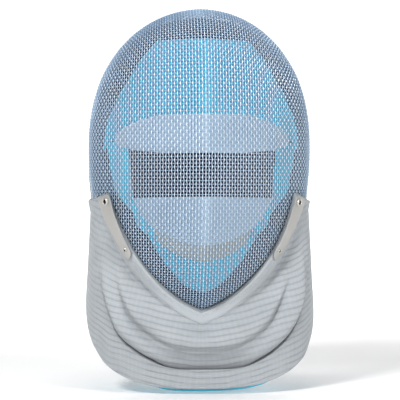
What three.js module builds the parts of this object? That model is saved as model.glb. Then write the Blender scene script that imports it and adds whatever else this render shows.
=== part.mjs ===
// A fencing mask: a woven wire bowl with a creased ridge, padded inside, with a
// cloth bib hung from its lower edge. Millimetres, +Z up, the face looks along -Y.
// The origin is the crown seat, where the top of the wearer's head meets the padding.
import * as THREE from "three";

const { sin, cos, abs, sqrt, exp, min, max, sign, PI } = Math;
const degrees = PI / 180;

// Wire bowl, measured on the outside of the wire from the middle of its widest level.
const domeHalfWidth = 104.5;
const domeFront = 111;
const domeBack = 145;
const domeTop = 126.4;
const domeLow = 169;
const domeLevelPower = 2.2;
const crownLean = 24;
const chinSlide = 17;
const ridgeCrease = 0.48;
const wireDiameter = 1.1;
const wallThickness = 2 * wireDiameter;
const seatBelowCrown = 19.6;

// Rim of the bowl, seen from the side. level is a share of the height above or below
// the widest level, back a share of the bowl's front depth.
const rimLine = [
  { level: -1.0, back: -0.13 },
  { level: -0.6, back: -0.11 },
  { level: -0.3, back: 0.02 },
  { level: 0.0, back: 0.15 },
  { level: 0.35, back: 0.24 },
  { level: 0.65, back: 0.4 },
  { level: 0.85, back: 0.54 },
  { level: 1.0, back: 0.58 },
];
const rimBandWidth = 6;
const rimBandProud = 0.6;

// Clearances between pieces.
const seatGap = 0.4;
const edgeGap = 0.4;
const padGap = 1.4;

// Padding.
const rollThickness = 18;
const rollWidth = 28;
const rollCrownWidth = 62;
const rollJawThickness = 27;
const browThickness = 9;
const foreheadThickness = 15;
const chinPadThickness = 13;
const chinLinerThickness = 4;
const cheekThickness = 6;
const bindingWidth = 14;
const bindingThickness = 3;

// Bib.
const clothThickness = 3;
const bibEdgeY = -40;
const collarWidth = 16;
const bibRearY = 40;
const bibDrop = 69;
const hemHalfWidth = 110.5;
const hemTuckLeft = 3.5;
const hemForward = 8;
const hemRise = 80;
const hemPower = 2.8;
const hemWidestY = 25;
const hemRearBack = 27;
const hemRearRise = 27;
const bibBulge = 7;
const waistDepth = 3;
const liningThickness = 1.5;
const liningShow = 3;
const tapeWidth = 12;
const tapeThickness = 0.8;

// Folds that run parallel to the hem. fromHem and width are shares of the bib's drop,
// depth a share of the cloth's thickness, left and right how far round each fold runs.
const bibFolds = [
  { fromHem: 0.3, width: 0.07, depth: 2.4, left: 0.62, right: 0.74 },
  { fromHem: 0.4, width: 0.1, depth: -1.1, left: 0.64, right: 0.76 },
  { fromHem: 0.57, width: 0.09, depth: 0.9, left: 0.58, right: 0.6 },
  { fromHem: 0.8, width: 0.1, depth: 0.45, left: 0.45, right: 0.45 },
];

// Clamp plates and their fasteners.
const plateLength = 60;
const plateTopWidth = 15;
const plateEndWidth = 9;
const plateThickness = 1.2;
const plateOverhang = 5;
const leftPlateForward = 2;
const eyeletRadius = 3.6;
const eyeletHole = 1.5;
const eyeletHeight = 1.5;
const rivetRadius = 2.3;
const rivetHole = 0.9;
const rivetHeight = 1;

// Back of the head.
const tongueTopWidth = 74;
const tongueEndWidth = 104;
const tongueDrop = 172;
const tongueRound = 8;
const tongueThickness = 8;
const strapHeight = 60;
const strapThickness = 2;
const strapLevel = -16;

const finishes = {
  wire: { color: 0xd9e2ee, roughness: 0.35, metalness: 0.85 },
  band: { color: 0x9aa0a8, roughness: 0.4, metalness: 0.8 },
  plate: { color: 0xc4c2be, roughness: 0.35, metalness: 0.9 },
  bib: { color: 0xb9bec3, roughness: 0.6, metalness: 0.1 },
  tape: { color: 0xc0c6cb, roughness: 0.6, metalness: 0.1 },
  sky: { color: 0x57b5dd, roughness: 0.85, metalness: 0 },
  pale: { color: 0xc3d3df, roughness: 0.85, metalness: 0 },
  binding: { color: 0xb4b9b4, roughness: 0.8, metalness: 0 },
  navy: { color: 0x101c30, roughness: 0.9, metalness: 0 },
};

const mix = (a, b, share) => a + (b - a) * share;
const clamp = (value, low, high) => min(max(value, low), high);
const ease = (share) => {
  const t = clamp(share, 0, 1);
  return t * t * (3 - 2 * t);
};
const bump = (distance, width) => exp(-((distance / width) ** 2));

// A smooth curve through a table: the value of one column where another has a given value.
function readTable(rows, key, column, at) {
  const last = rows.length - 1;
  let i = 0;
  while (i < last - 1 && rows[i + 1][key] < at) i++;
  const slope = (k) => {
    const before = rows[max(k - 1, 0)];
    const after = rows[min(k + 1, last)];
    return (after[column] - before[column]) / (after[key] - before[key]);
  };
  const a = rows[i];
  const b = rows[i + 1];
  const span = b[key] - a[key];
  const t = clamp((at - a[key]) / span, 0, 1);
  return (
    a[column] * (1 + 2 * t) * (1 - t) ** 2 +
    slope(i) * span * t * (1 - t) ** 2 +
    b[column] * t * t * (3 - 2 * t) +
    slope(i + 1) * span * t * t * (t - 1)
  );
}

// The bowl's horizontal section at a height, for a bowl grown by some millimetres all round.
function sectionAt(z, grow) {
  const reach = (z > 0 ? domeTop : domeLow) + grow;
  const level = min(abs(z) / reach, 1);
  const size = sqrt(1 - level ** domeLevelPower);
  return {
    halfWidth: (domeHalfWidth + grow) * size,
    front: (domeFront + grow) * size,
    back: (domeBack + grow) * size,
    centreY: level * level * (z > 0 ? -crownLean : chinSlide),
  };
}

// The section's front half is part ellipse and part straight, which makes the ridge.
const creased = (share) => (1 - ridgeCrease) * sqrt(1 - share * share) + ridgeCrease * (1 - share);

function insideDome(x, y, z, grow) {
  const section = sectionAt(z, grow);
  const share = abs(x) / max(section.halfWidth, 1e-9);
  if (share >= 1) return false;
  const ahead = section.centreY - y;
  if (ahead > 0) return ahead < section.front * creased(share);
  return -ahead < section.back * sqrt(1 - share * share);
}

// The point of the grown bowl at a height y and an angle round the Y axis, 0 being up.
function onDome(angle, y, grow) {
  let low = 0;
  let high = domeTop + domeLow;
  for (let i = 0; i < 44; i++) {
    const radius = (low + high) / 2;
    if (insideDome(radius * sin(angle), y, radius * cos(angle), grow)) low = radius;
    else high = radius;
  }
  return new THREE.Vector3(low * sin(angle), y, low * cos(angle));
}

// The point of the grown bowl in front of a place of the front view.
function onFront(x, z, grow) {
  const section = sectionAt(z, grow);
  const share = min(abs(x) / section.halfWidth, 1);
  return new THREE.Vector3(x, section.centreY - section.front * creased(share), z);
}

function onBack(x, z, grow) {
  const section = sectionAt(z, grow);
  const share = min(abs(x) / section.halfWidth, 1);
  return new THREE.Vector3(x, section.centreY + section.back * sqrt(1 - share * share), z);
}

function rimYAt(z) {
  const level = z > 0 ? z / domeTop : z / domeLow;
  return domeFront * readTable(rimLine, "level", "back", level);
}

// The y of the rim, or of a line some way behind it, at an angle round the Y axis.
function rimYAround(angle, behind = 0) {
  let low = -domeFront * 0.9;
  let high = domeBack * 0.8;
  for (let i = 0; i < 40; i++) {
    const y = (low + high) / 2;
    if (y - behind < rimYAt(onDome(angle, y, 0).z)) low = y;
    else high = y;
  }
  return low;
}

// Moved towards the middle of the bowl.
function inward(point, distance) {
  return point.multiplyScalar(1 - distance / point.length());
}

// A closed wall between an outer face and an inner face, both given as
// pointAt(across, along, depth) with depth 0 outside and 1 inside.
// A ring joins its first and last column, and a pole gathers the first row in one point.
function wall(columns, rows, pointAt, { ring = false, pole = false } = {}) {
  const width = ring ? columns : columns + 1;
  const face = width * (rows + 1);
  const positions = [];
  for (const depth of [0, 1]) {
    for (let r = 0; r <= rows; r++) {
      for (let c = 0; c < width; c++) {
        const p = pointAt(c / columns, r / rows, depth);
        positions.push(p.x, p.y, p.z);
      }
    }
  }
  const at = (depth, c, r) => depth * face + (pole && r === 0 ? 0 : r * width + (c % width));
  const index = [];
  const triangle = (a, b, c) => {
    if (a !== b && b !== c && c !== a) index.push(a, b, c);
  };
  const quad = (a, b, c, d) => {
    triangle(a, b, c);
    triangle(a, c, d);
  };
  for (let r = 0; r < rows; r++) {
    for (let c = 0; c < columns; c++) {
      quad(at(0, c, r), at(0, c, r + 1), at(0, c + 1, r + 1), at(0, c + 1, r));
      quad(at(1, c, r), at(1, c + 1, r), at(1, c + 1, r + 1), at(1, c, r + 1));
    }
    if (!ring) {
      quad(at(1, 0, r), at(1, 0, r + 1), at(0, 0, r + 1), at(0, 0, r));
      quad(at(0, columns, r), at(0, columns, r + 1), at(1, columns, r + 1), at(1, columns, r));
    }
  }
  for (let c = 0; c < columns; c++) {
    if (!pole) quad(at(0, c, 0), at(0, c + 1, 0), at(1, c + 1, 0), at(1, c, 0));
    quad(at(0, c + 1, rows), at(0, c, rows), at(1, c, rows), at(1, c + 1, rows));
  }
  return facingOut(positions, index);
}

function facingOut(positions, index) {
  let volume = 0;
  const corner = (i) => new THREE.Vector3().fromArray(positions, 3 * i);
  for (let i = 0; i < index.length; i += 3) {
    const [a, b, c] = [corner(index[i]), corner(index[i + 1]), corner(index[i + 2])];
    volume += a.dot(b.cross(c));
  }
  if (volume < 0) index.reverse();
  const geometry = new THREE.BufferGeometry();
  geometry.setAttribute("position", new THREE.Float32BufferAttribute(positions, 3));
  geometry.setIndex(index);
  geometry.computeVertexNormals();
  return geometry;
}

const mask = new THREE.Group();

function add(name, geometry, finish) {
  const mesh = new THREE.Mesh(geometry, new THREE.MeshStandardMaterial(finishes[finish]));
  mesh.name = name;
  mask.add(mesh);
  return mesh;
}

// Wire bowl and the band over its edge.
function makeDome() {
  const around = 56;
  const along = 12;
  const edges = Array.from({ length: around }, (_, i) => rimYAround((i / around) * 2 * PI));
  const shell = (across, share, depth) => {
    const turn = Math.round(across * around) % around;
    const angle = (turn / around) * 2 * PI;
    const grow = -depth * wallThickness;
    const nose = -domeFront - grow;
    const y = mix(edges[turn], nose, cos((share * PI) / 2));
    if (share === 0) return new THREE.Vector3(0, nose, 0);
    return onDome(angle, y, grow);
  };
  add("mesh_dome", wall(around, along, shell, { ring: true, pole: true }), "wire");

  const band = (across, share, depth) => {
    const angle = across * 2 * PI;
    const grow = depth ? -wallThickness - rimBandProud : rimBandProud;
    return onDome(angle, rimYAround(angle, edgeGap + share * rimBandWidth), grow);
  };
  add("rim_band", wall(around, 1, band, { ring: true }), "band");
}

// Padded roll inside the rim, from one side of the jaw over the crown to the other.
function makeRimPad() {
  const pad = (across, share, depth) => {
    const turn = mix(-1, 1, across);
    const angle = turn * PI;
    const jaw = ease((abs(turn) - 0.5) / 0.16);
    const crown = 1 - ease(abs(turn) / 0.34);
    const width = mix(rollWidth, rollCrownWidth, crown);
    const thickness = mix(rollThickness, rollJawThickness, jaw);
    const edge = 0.4 + 0.6 * sqrt(sin(PI * clamp(share, 0.02, 0.98)));
    const point = onDome(angle, rimYAround(angle) - padGap - share * width, -wallThickness - padGap);
    return inward(point, depth * thickness * edge);
  };
  add("rim_pad", wall(44, 4, pad, { ring: true }), "navy");
}

// A pad behind the front of the bowl. left, right, top and bottom bound it in the front view.
function frontPad(columns, rows, { left, right, top, bottom, thickness }) {
  return wall(columns, rows, (across, down, depth) => {
    const x = mix(left(down), right(down), across);
    const z = mix(top(across), bottom(across), down);
    const crowned = 0.35 + 0.65 * sqrt(sin(PI * clamp(across, 0.01, 0.99)) * sin(PI * clamp(down, 0.03, 0.97)));
    return inward(onFront(x, z, -wallThickness - padGap), depth * thickness * crowned);
  });
}

const padSide = 0.76 * domeHalfWidth;
const browTop = 0.75 * domeTop;
const browBottom = 0.205 * domeTop;
const foreheadBottom = -0.046 * domeLow;
const windowBottom = -0.29 * domeLow;
const chinPadBottom = -0.545 * domeLow;
const chinLinerBottom = -0.8 * domeLow;

// Height of the seam between the brow liner and the forehead pad, which droops at the ends.
const seamAt = (x) => browBottom - 0.14 * domeTop * (x / padSide) ** 4;

// Half the width of the chin pad, and the height of its lower edge.
const cupHalf = (down) => mix(0.6, 0.44, down ** 1.5) * domeHalfWidth;
const cupBottom = (across) => chinPadBottom + 0.1 * domeLow * (2 * across - 1) ** 2;

// The cheek liner's inner edge follows the view window, then the chin pad.
function cheekInner(z) {
  const beside = clamp((windowBottom - z) / (windowBottom - cupBottom(1)), 0, 1);
  const above = clamp((z - windowBottom) / (foreheadBottom - windowBottom), 0, 1);
  return cupHalf(beside) + 2 * padGap + above * 0.03 * domeHalfWidth;
}

function makeLiner() {
  const browHalf = (down) => mix(0.34, 0.84, sin((down * PI) / 2) ** 0.9) * domeHalfWidth;
  add(
    "brow_liner",
    frontPad(18, 6, {
      left: (down) => -browHalf(down),
      right: browHalf,
      top: () => browTop,
      bottom: (across) => seamAt((2 * across - 1) * browHalf(1)) + padGap,
      thickness: browThickness,
    }),
    "sky",
  );
  add(
    "forehead_pad",
    frontPad(18, 4, {
      left: () => -padSide,
      right: () => padSide,
      top: (across) => seamAt((2 * across - 1) * padSide),
      bottom: (across) => foreheadBottom + 0.06 * domeTop * (2 * across - 1) ** 4,
      thickness: foreheadThickness,
    }),
    "pale",
  );

  const cheekTop = foreheadBottom - 0.015 * domeLow;
  const cheekBottom = -0.52 * domeLow;
  for (const [side, name] of [
    [-1, "cheek_liner_left"],
    [1, "cheek_liner_right"],
  ]) {
    const inner = (down) => side * cheekInner(mix(cheekTop, cheekBottom, down));
    const outer = (down) => inner(down) + side * mix(0.17, 0.12, down) * domeHalfWidth;
    add(
      name,
      frontPad(3, 10, {
        left: side < 0 ? outer : inner,
        right: side < 0 ? inner : outer,
        top: () => cheekTop,
        bottom: () => cheekBottom,
        thickness: cheekThickness,
      }),
      "sky",
    );
  }

  // The chin pad narrows downwards like a cup. Its binding and the liner follow its lower edge.
  add(
    "chin_pad",
    frontPad(16, 5, {
      left: (down) => -cupHalf(down),
      right: cupHalf,
      top: () => windowBottom,
      bottom: cupBottom,
      thickness: chinPadThickness,
    }),
    "pale",
  );
  add(
    "chin_binding",
    frontPad(16, 2, {
      left: () => -cupHalf(1),
      right: () => cupHalf(1),
      top: (across) => cupBottom(across) - edgeGap,
      bottom: (across) => cupBottom(across) - edgeGap - bindingWidth,
      thickness: bindingThickness,
    }),
    "binding",
  );
  add(
    "chin_liner",
    frontPad(14, 4, {
      left: () => -cupHalf(1) * 0.96,
      right: () => cupHalf(1) * 0.96,
      top: (across) => cupBottom(across) - 2 * padGap - bindingWidth,
      bottom: (across) => chinLinerBottom + 0.17 * domeLow * (2 * across - 1) ** 2,
      thickness: chinLinerThickness,
    }),
    "sky",
  );
}

// Bib. turn runs from -1 at the rear left edge round the chin to 1 at the rear right.
const edgeTurn = 0.72;
const leftForward = 3.5;
const chinAngle = PI;
const edgeTopAngle = 117 * degrees;
const rearAngle = 115.5 * degrees;
const collarShare = 0.16;

function facing(turn) {
  const angle = (PI / 2) * min(abs(turn) / 0.9, 1) * sign(turn);
  return new THREE.Vector3(sin(angle), -cos(angle), 0);
}

// The bib's upper edge: the V along the bowl up to the plates, then straight back.
function topEdge(turn) {
  const round = abs(turn);
  const side = turn < 0 ? -1 : 1;
  const rear = max((round - edgeTurn) / (1 - edgeTurn), 0);
  const angle = rear > 0 ? mix(edgeTopAngle, rearAngle, rear) : mix(chinAngle, edgeTopAngle, round / edgeTurn);
  const forward = turn < 0 && rear === 0 ? leftForward * sin((PI * round) / edgeTurn) : 0;
  return { angle: side * angle, y: mix(bibEdgeY, bibRearY, rear) - forward, rear };
}

const grownBy = (depth) => seatGap * 2 + max(clothThickness - depth, 0);

function collarPoint(turn, share, depth) {
  const edge = topEdge(turn);
  const grow = grownBy(depth);
  const start = onDome(edge.angle, edge.y, grow);
  const lean = 1 - ease(edge.rear * 2);
  const droop = sign(turn) * ease(edge.rear * 1.4) * 0.11;
  // The inner face runs on a little, round the outside of the bend below the collar.
  const run = share * (collarWidth + 1.17 * min(depth, clothThickness));
  const onBowl = onDome(edge.angle + droop * share, edge.y + lean * run, grow);
  const hanging = start.clone().add(new THREE.Vector3(0, -2 * share, -0.85 * collarWidth * share));
  const setBack = mix(0.25, 1, ease(3 * share)) * (1 - ease(abs(turn) / 0.26));
  hanging.addScaledVector(facing(turn), -min(depth, clothThickness) * setBack);
  return hanging.lerp(onBowl, ease((abs(turn) - 0.04) / 0.3));
}

function hemPoint(turn) {
  const round = abs(turn);
  const side = sign(turn);
  const swing = (PI / 2) * min(round / 0.86, 1);
  const out = sin(swing) ** (2 / hemPower);
  const up = 1 - cos(swing) ** (2 / hemPower);
  const rear = max((round - 0.86) / 0.14, 0);
  const halfWidth = hemHalfWidth - (turn < 0 ? hemTuckLeft : 0) * ease(out * 2);
  const chin = onDome(chinAngle, bibEdgeY, clothThickness + seatGap);
  const frontY = bibEdgeY - hemForward;
  return new THREE.Vector3(
    side * (halfWidth * out - 2 * rear),
    hemWidestY - (hemWidestY - frontY) * sqrt(1 - min(out, 1) ** 2.2) + hemRearBack * rear,
    chin.z - bibDrop + hemRise * up + hemRearRise * rear,
  );
}

// How far the folds push the cloth out, at a distance from the hem.
function foldOut(turn, fromHem) {
  let out = 0;
  for (const fold of bibFolds) {
    const reach = turn < 0 ? fold.left : fold.right;
    const strength = 1 - ease((abs(turn) - reach + 0.12) / 0.2);
    const distance = fromHem - fold.fromHem * bibDrop;
    out -= fold.depth * clothThickness * strength * bump(distance, fold.width * bibDrop);
  }
  return out;
}

// A point of the bib's cloth: share runs from its upper edge to its hem, depth is
// millimetres in from its outer face, and beyond lets it pass the hem.
function bibPoint(turn, share, depth, beyond = 0) {
  if (share <= collarShare) return collarPoint(turn, share / collarShare, depth);
  const t = (share - collarShare) / (1 - collarShare);
  const out = facing(turn);
  const start = collarPoint(turn, 1, min(depth, clothThickness));
  start.addScaledVector(out, -max(depth - clothThickness, 0));
  const end = hemPoint(turn).addScaledVector(out, -depth);
  const length = start.distanceTo(end);
  const middle = start.clone().lerp(end, 0.5);
  middle.addScaledVector(out, 2 * bibBulge * (1 - 0.7 * abs(turn)));
  middle.addScaledVector(out, -2 * waistDepth * ease((abs(turn) - 0.6) / 0.2));
  const point = start.multiplyScalar((1 - t) ** 2);
  point.addScaledVector(middle, 2 * t * (1 - t)).addScaledVector(end, t * t);
  point.addScaledVector(out, foldOut(turn, (1 - t) * length) * ease(t / 0.2));
  point.z -= beyond;
  return point;
}

// Rows of the bib are closer together where the folds are.
const bibRows = [0, 0.08, collarShare, 0.26, 0.36, 0.46, 0.55, 0.62, 0.68, 0.73, 0.78, 0.83, 0.88, 0.94, 1];

function rowShare(share) {
  const place = share * (bibRows.length - 1);
  const i = min(Math.floor(place), bibRows.length - 2);
  return mix(bibRows[i], bibRows[i + 1], place - i);
}

function makeBib() {
  const cloth = (across, down, depth) => bibPoint(mix(-1, 1, across), rowShare(down), depth * clothThickness);
  add("bib_shell", wall(46, bibRows.length - 1, cloth), "bib");

  const lining = (across, down, depth) => {
    const turn = mix(-0.94, 0.94, across);
    const loose = 8 * ease((1 - down) / 0.25);
    const inset = clothThickness + 2 * seatGap + loose + depth * liningThickness;
    const show = liningShow * (1 - ease((abs(turn) - 0.2) / 0.14));
    const lowered = (show - 2) * ease((down - 0.8) / 0.2);
    return bibPoint(turn, mix(0.5, 1, down), inset, lowered);
  };
  add("bib_lining", wall(30, 5, lining), "sky");

  const tapeEnd = edgeTurn - 0.012;
  const tape = (across, down, depth) => {
    const turn = mix(-tapeEnd, tapeEnd, across);
    const lift = seatGap + (1 - depth) * tapeThickness;
    const share = mix(0.05, min(tapeWidth / collarWidth, 1), down);
    const seat = collarPoint(turn, share, 0);
    return seat.add(outwardAt(turn, share).multiplyScalar(lift));
  };
  add("bib_edge_band", wall(60, 1, tape), "tape");
}

// The cloth's outward direction on the collar.
function outwardAt(turn, share) {
  const step = 0.004;
  const along = collarPoint(turn + step, share, 0).sub(collarPoint(turn - step, share, 0));
  const down = collarPoint(turn, share + 0.05, 0).sub(collarPoint(turn, share - 0.05, 0));
  return down.cross(along).normalize();
}

// Clamp plates lie on the upper ends of the bib's V, one each side.
function platePoint(side, down, across, lift) {
  const width = mix(plateTopWidth, plateEndWidth, down);
  const angle = edgeTopAngle + 0.5 * degrees + (down * plateLength) / (1.1 * domeHalfWidth);
  const y = bibEdgeY - plateOverhang - (side < 0 ? leftPlateForward : 0) + across * width;
  return onDome(side * angle, y, grownBy(0) + lift);
}

function makePlates() {
  const seat = 2 * seatGap + tapeThickness;
  for (const [side, name] of [
    [-1, "left"],
    [1, "right"],
  ]) {
    const plate = (across, down, depth) =>
      platePoint(side, down, across, seat + (1 - depth) * plateThickness);
    add("side_plate_" + name, wall(3, 8, plate), "plate");

    for (const [kind, down, across, radius, hole, height] of [
      ["eyelet_upper_", 0.1, 0.36, eyeletRadius, eyeletHole, eyeletHeight],
      ["rivet_lower_", 0.88, 0.42, rivetRadius, rivetHole, rivetHeight],
    ]) {
      const profile = [
        [0, 0],
        [radius, 0],
        [radius, 0.45 * height],
        [0.8 * radius, height],
        [1.2 * hole, height],
        [hole, 0.3 * height],
        [0, 0.3 * height],
      ].map(([x, y]) => new THREE.Vector2(x, y));
      const geometry = new THREE.LatheGeometry(profile, 12);
      const head = add(kind + name, geometry, "plate");
      const centre = platePoint(side, down, across, seat + plateThickness + seatGap);
      const up = platePoint(side, down, across, seat + plateThickness + 2).sub(centre);
      const tilt = outwardOfPlate(side, down);
      if (tilt.dot(up) < 0) tilt.negate();
      head.position.copy(centre);
      head.quaternion.setFromUnitVectors(new THREE.Vector3(0, 1, 0), tilt);
    }
  }
}

function outwardOfPlate(side, down) {
  const across = platePoint(side, down, 0.7, 0).sub(platePoint(side, down, 0.3, 0));
  const along = platePoint(side, down + 0.05, 0.5, 0).sub(platePoint(side, down - 0.05, 0.5, 0));
  return across.cross(along).normalize();
}

// Sprung tongue behind the head, and the elastic strap round it.
function makeBack() {
  const rimY = rimYAround(0, padGap + rimBandWidth);
  const rimZ = onDome(0, rimY, 0).z;
  const tongue = (across, down, depth) => {
    const grow = -strapThickness - padGap - depth * tongueThickness;
    const round = sqrt(1 - max((down - 0.86) / 0.14, 0) ** 2 * 0.75);
    const half = 0.5 * mix(tongueTopWidth, tongueEndWidth, ease(down * 1.4)) * round;
    const x = mix(-half, half, across);
    const z = rimZ - (1 - cos(down * PI * 0.5)) * tongueRound - down * (tongueDrop - tongueRound);
    const start = onDome(Math.atan2(x, rimZ), rimYAround(Math.atan2(x, rimZ), padGap + rimBandWidth), grow);
    return start.lerp(onBack(x, z, grow), ease(down / 0.12));
  };
  add("back_tongue", wall(8, 12, tongue), "navy");

  const strap = (across, down, depth) => {
    const z = strapLevel + mix(0.5, -0.5, down) * strapHeight;
    const section = sectionAt(z, 0);
    const rim = rimYAt(z) + 3 * edgeGap + rimBandWidth;
    const start = Math.acos(clamp((rim - section.centreY) / section.back, 0, 1));
    const swing = mix(-start, start, across);
    const grow = strapThickness * (0.5 - depth);
    return new THREE.Vector3(
      (section.halfWidth + grow) * sin(swing),
      section.centreY + (section.back + grow) * cos(swing),
      z,
    );
  };
  add("back_strap", wall(30, 2, strap), "navy");
}

makeDome();
makeRimPad();
makeLiner();
makeBib();
makePlates();
makeBack();

const crownSeat = onDome(0, 0, 0).z - seatBelowCrown;
for (const piece of mask.children) piece.position.z -= crownSeat;

export default mask;
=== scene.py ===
# A fencing mask: woven wire bowl, padded lining, silver-grey cloth bib, clamp plates.
# Shapes are worked out in millimetres round the middle of the bowl's widest level and
# stored in metres, Z up, with the face looking along -Y.
import bpy
import math
import numpy as np
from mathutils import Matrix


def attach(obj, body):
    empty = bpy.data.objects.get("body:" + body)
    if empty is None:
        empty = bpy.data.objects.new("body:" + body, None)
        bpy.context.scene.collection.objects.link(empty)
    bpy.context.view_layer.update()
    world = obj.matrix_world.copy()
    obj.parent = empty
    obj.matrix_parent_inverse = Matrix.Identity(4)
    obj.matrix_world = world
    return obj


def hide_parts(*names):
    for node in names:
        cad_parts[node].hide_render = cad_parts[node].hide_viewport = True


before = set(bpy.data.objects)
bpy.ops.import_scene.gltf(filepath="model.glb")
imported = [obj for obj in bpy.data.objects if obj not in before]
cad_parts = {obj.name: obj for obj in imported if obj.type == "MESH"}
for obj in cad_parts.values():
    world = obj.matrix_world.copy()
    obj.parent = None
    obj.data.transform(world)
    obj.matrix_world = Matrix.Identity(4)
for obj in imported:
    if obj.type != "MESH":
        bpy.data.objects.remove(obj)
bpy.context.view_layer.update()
print("frame loaded:", len(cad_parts), "nodes")


# Camera and room
room = {
    "turn": -3.0,  # degrees round the mask, towards its right cheek
    "distance": 1.6,
    "eyeHeight": -0.1558,
    "lens": 153.2,
    "floorDrop": 0.0015,  # below the hem
    "skyStrength": 0.1,
    "aim": -0.14,  # height that the lights point at
}


def addCamera():
    turn = math.radians(room["turn"])
    away = room["distance"]
    place = (away * math.sin(turn), -away * math.cos(turn), room["eyeHeight"])
    bpy.ops.object.camera_add(location=place, rotation=(math.pi / 2, 0, turn))
    camera = bpy.context.object
    camera.name = "photoCamera"
    camera.data.lens = room["lens"]
    camera.data.sensor_width = 36
    camera.data.shift_x = 0.5 / 400
    camera.data.clip_end = 50
    bpy.context.scene.camera = camera
    bpy.context.scene.view_settings.view_transform = "Standard"


addCamera()


# Small helpers
def mixed(a, b, share):
    return a + (b - a) * share


def eased(share):
    t = np.clip(share, 0, 1)
    return t * t * (3 - 2 * t)


def hump(distance, width):
    return np.exp(-((distance / width) ** 2))


def stacked(x, y, z):
    x, y, z = np.broadcast_arrays(x, y, z)
    return np.stack([x, y, z], axis=-1).astype(float)


def unit(vectors):
    return vectors / np.maximum(np.linalg.norm(vectors, axis=-1, keepdims=True), 1e-12)


# The bowl that everything is fitted to
bowl = {
    "halfWidth": 104.5,
    "front": 111.0,
    "back": 145.0,
    "top": 126.4,
    "low": 169.0,
    "levelPower": 2.2,
    "crownLean": 24.0,
    "chinSlide": 17.0,
    "crease": 0.48,  # share of the section that is a straight V, which makes the ridge
    "seatBelowCrown": 19.6,
    "wall": 2.2,
}
rimLevels = [-1.0, -0.6, -0.3, 0.0, 0.35, 0.65, 0.85, 1.0]
rimBacks = [-0.13, -0.11, 0.02, 0.15, 0.24, 0.4, 0.54, 0.58]


def sectionAt(z, grow):
    reach = np.where(z > 0, bowl["top"], bowl["low"]) + grow
    level = np.minimum(np.abs(z) / reach, 1)
    size = np.sqrt(np.maximum(1 - level ** bowl["levelPower"], 0))
    centreY = level**2 * np.where(z > 0, -bowl["crownLean"], bowl["chinSlide"])
    half, front, back = [(bowl[key] + grow) * size for key in ("halfWidth", "front", "back")]
    return half, front, back, centreY


def creasedAt(share):
    c = bowl["crease"]
    return (1 - c) * np.sqrt(np.maximum(1 - share * share, 0)) + c * (1 - share)


def insideBowl(x, y, z, grow):
    half, front, back, centreY = sectionAt(z, grow)
    share = np.abs(x) / np.maximum(half, 1e-9)
    ahead = centreY - y
    round_ = np.sqrt(np.maximum(1 - share * share, 0))
    within = np.where(ahead > 0, ahead < front * creasedAt(np.minimum(share, 1)), -ahead < back * round_)
    return within & (share < 1)


def onBowl(angle, y, grow):
    angle, y, grow = np.broadcast_arrays(*map(np.asarray, (angle, y, grow)))
    low = np.zeros(angle.shape)
    high = np.full(angle.shape, bowl["top"] + bowl["low"])
    for _ in range(40):
        radius = (low + high) / 2
        within = insideBowl(radius * np.sin(angle), y, radius * np.cos(angle), grow)
        low = np.where(within, radius, low)
        high = np.where(within, high, radius)
    return stacked(low * np.sin(angle), y, low * np.cos(angle))


def onFront(x, z, grow):
    half, front, _, centreY = sectionAt(z, grow)
    share = np.minimum(np.abs(x) / half, 1)
    return stacked(x, centreY - front * creasedAt(share), z)


def onBack(x, z, grow):
    half, _, back, centreY = sectionAt(z, grow)
    share = np.minimum(np.abs(x) / half, 1)
    return stacked(x, centreY + back * np.sqrt(1 - share * share), z)


def smoothTable(keys, values, at):
    keys, values = np.array(keys), np.array(values)
    at = np.clip(at, keys[0], keys[-1])
    i = np.clip(np.searchsorted(keys, at, side="left") - 1, 0, len(keys) - 2)
    before = np.maximum(np.arange(len(keys)) - 1, 0)
    after = np.minimum(np.arange(len(keys)) + 1, len(keys) - 1)
    slope = (values[after] - values[before]) / (keys[after] - keys[before])
    span = keys[i + 1] - keys[i]
    t = (at - keys[i]) / span
    return (
        values[i] * (1 + 2 * t) * (1 - t) ** 2
        + slope[i] * span * t * (1 - t) ** 2
        + values[i + 1] * t * t * (3 - 2 * t)
        + slope[i + 1] * span * t * t * (t - 1)
    )


def rimYAt(z):
    level = np.where(z > 0, z / bowl["top"], z / bowl["low"])
    return bowl["front"] * smoothTable(rimLevels, rimBacks, level)


def rimYAround(angle, behind=0.0):
    angle = np.asarray(angle, dtype=float)
    low = np.full(angle.shape, -bowl["front"] * 0.9)
    high = np.full(angle.shape, bowl["back"] * 0.8)
    for _ in range(36):
        y = (low + high) / 2
        ahead = y - behind < rimYAt(onBowl(angle, y, 0)[..., 2])
        low = np.where(ahead, y, low)
        high = np.where(ahead, high, y)
    return low


def inward(points, distance):
    length = np.linalg.norm(points, axis=-1, keepdims=True)
    return points * (1 - np.asarray(distance)[..., None] / length)


seatZ = float(onBowl(0.0, 0.0, 0.0)[2]) - bowl["seatBelowCrown"]


def toMetres(points):
    return (np.asarray(points) - (0, 0, seatZ)) * 0.001


# Making pieces
def deselectAll():
    if bpy.context.object and bpy.context.object.mode != "OBJECT":
        bpy.ops.object.mode_set(mode="OBJECT")
    bpy.ops.object.select_all(action="DESELECT")


def pickOut(piece):
    deselectAll()
    piece.select_set(True)
    bpy.context.view_layer.objects.active = piece


def applyModifier(piece, kind, **settings):
    pickOut(piece)
    bpy.ops.object.modifier_add(type=kind)
    modifier = piece.modifiers[-1]
    for key, value in settings.items():
        setattr(modifier, key, value)
    bpy.ops.object.modifier_apply(modifier=modifier.name)


def editAll(piece, operator, **settings):
    pickOut(piece)
    bpy.ops.object.mode_set(mode="EDIT")
    bpy.ops.mesh.select_all(action="SELECT")
    operator(**settings)
    bpy.ops.object.mode_set(mode="OBJECT")


def pointsOf(piece):
    flat = np.empty(len(piece.data.vertices) * 3)
    piece.data.vertices.foreach_get("co", flat)
    return flat.reshape(-1, 3)


def movePoints(piece, points):
    piece.data.vertices.foreach_set("co", toMetres(points).ravel())
    piece.data.update()


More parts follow.
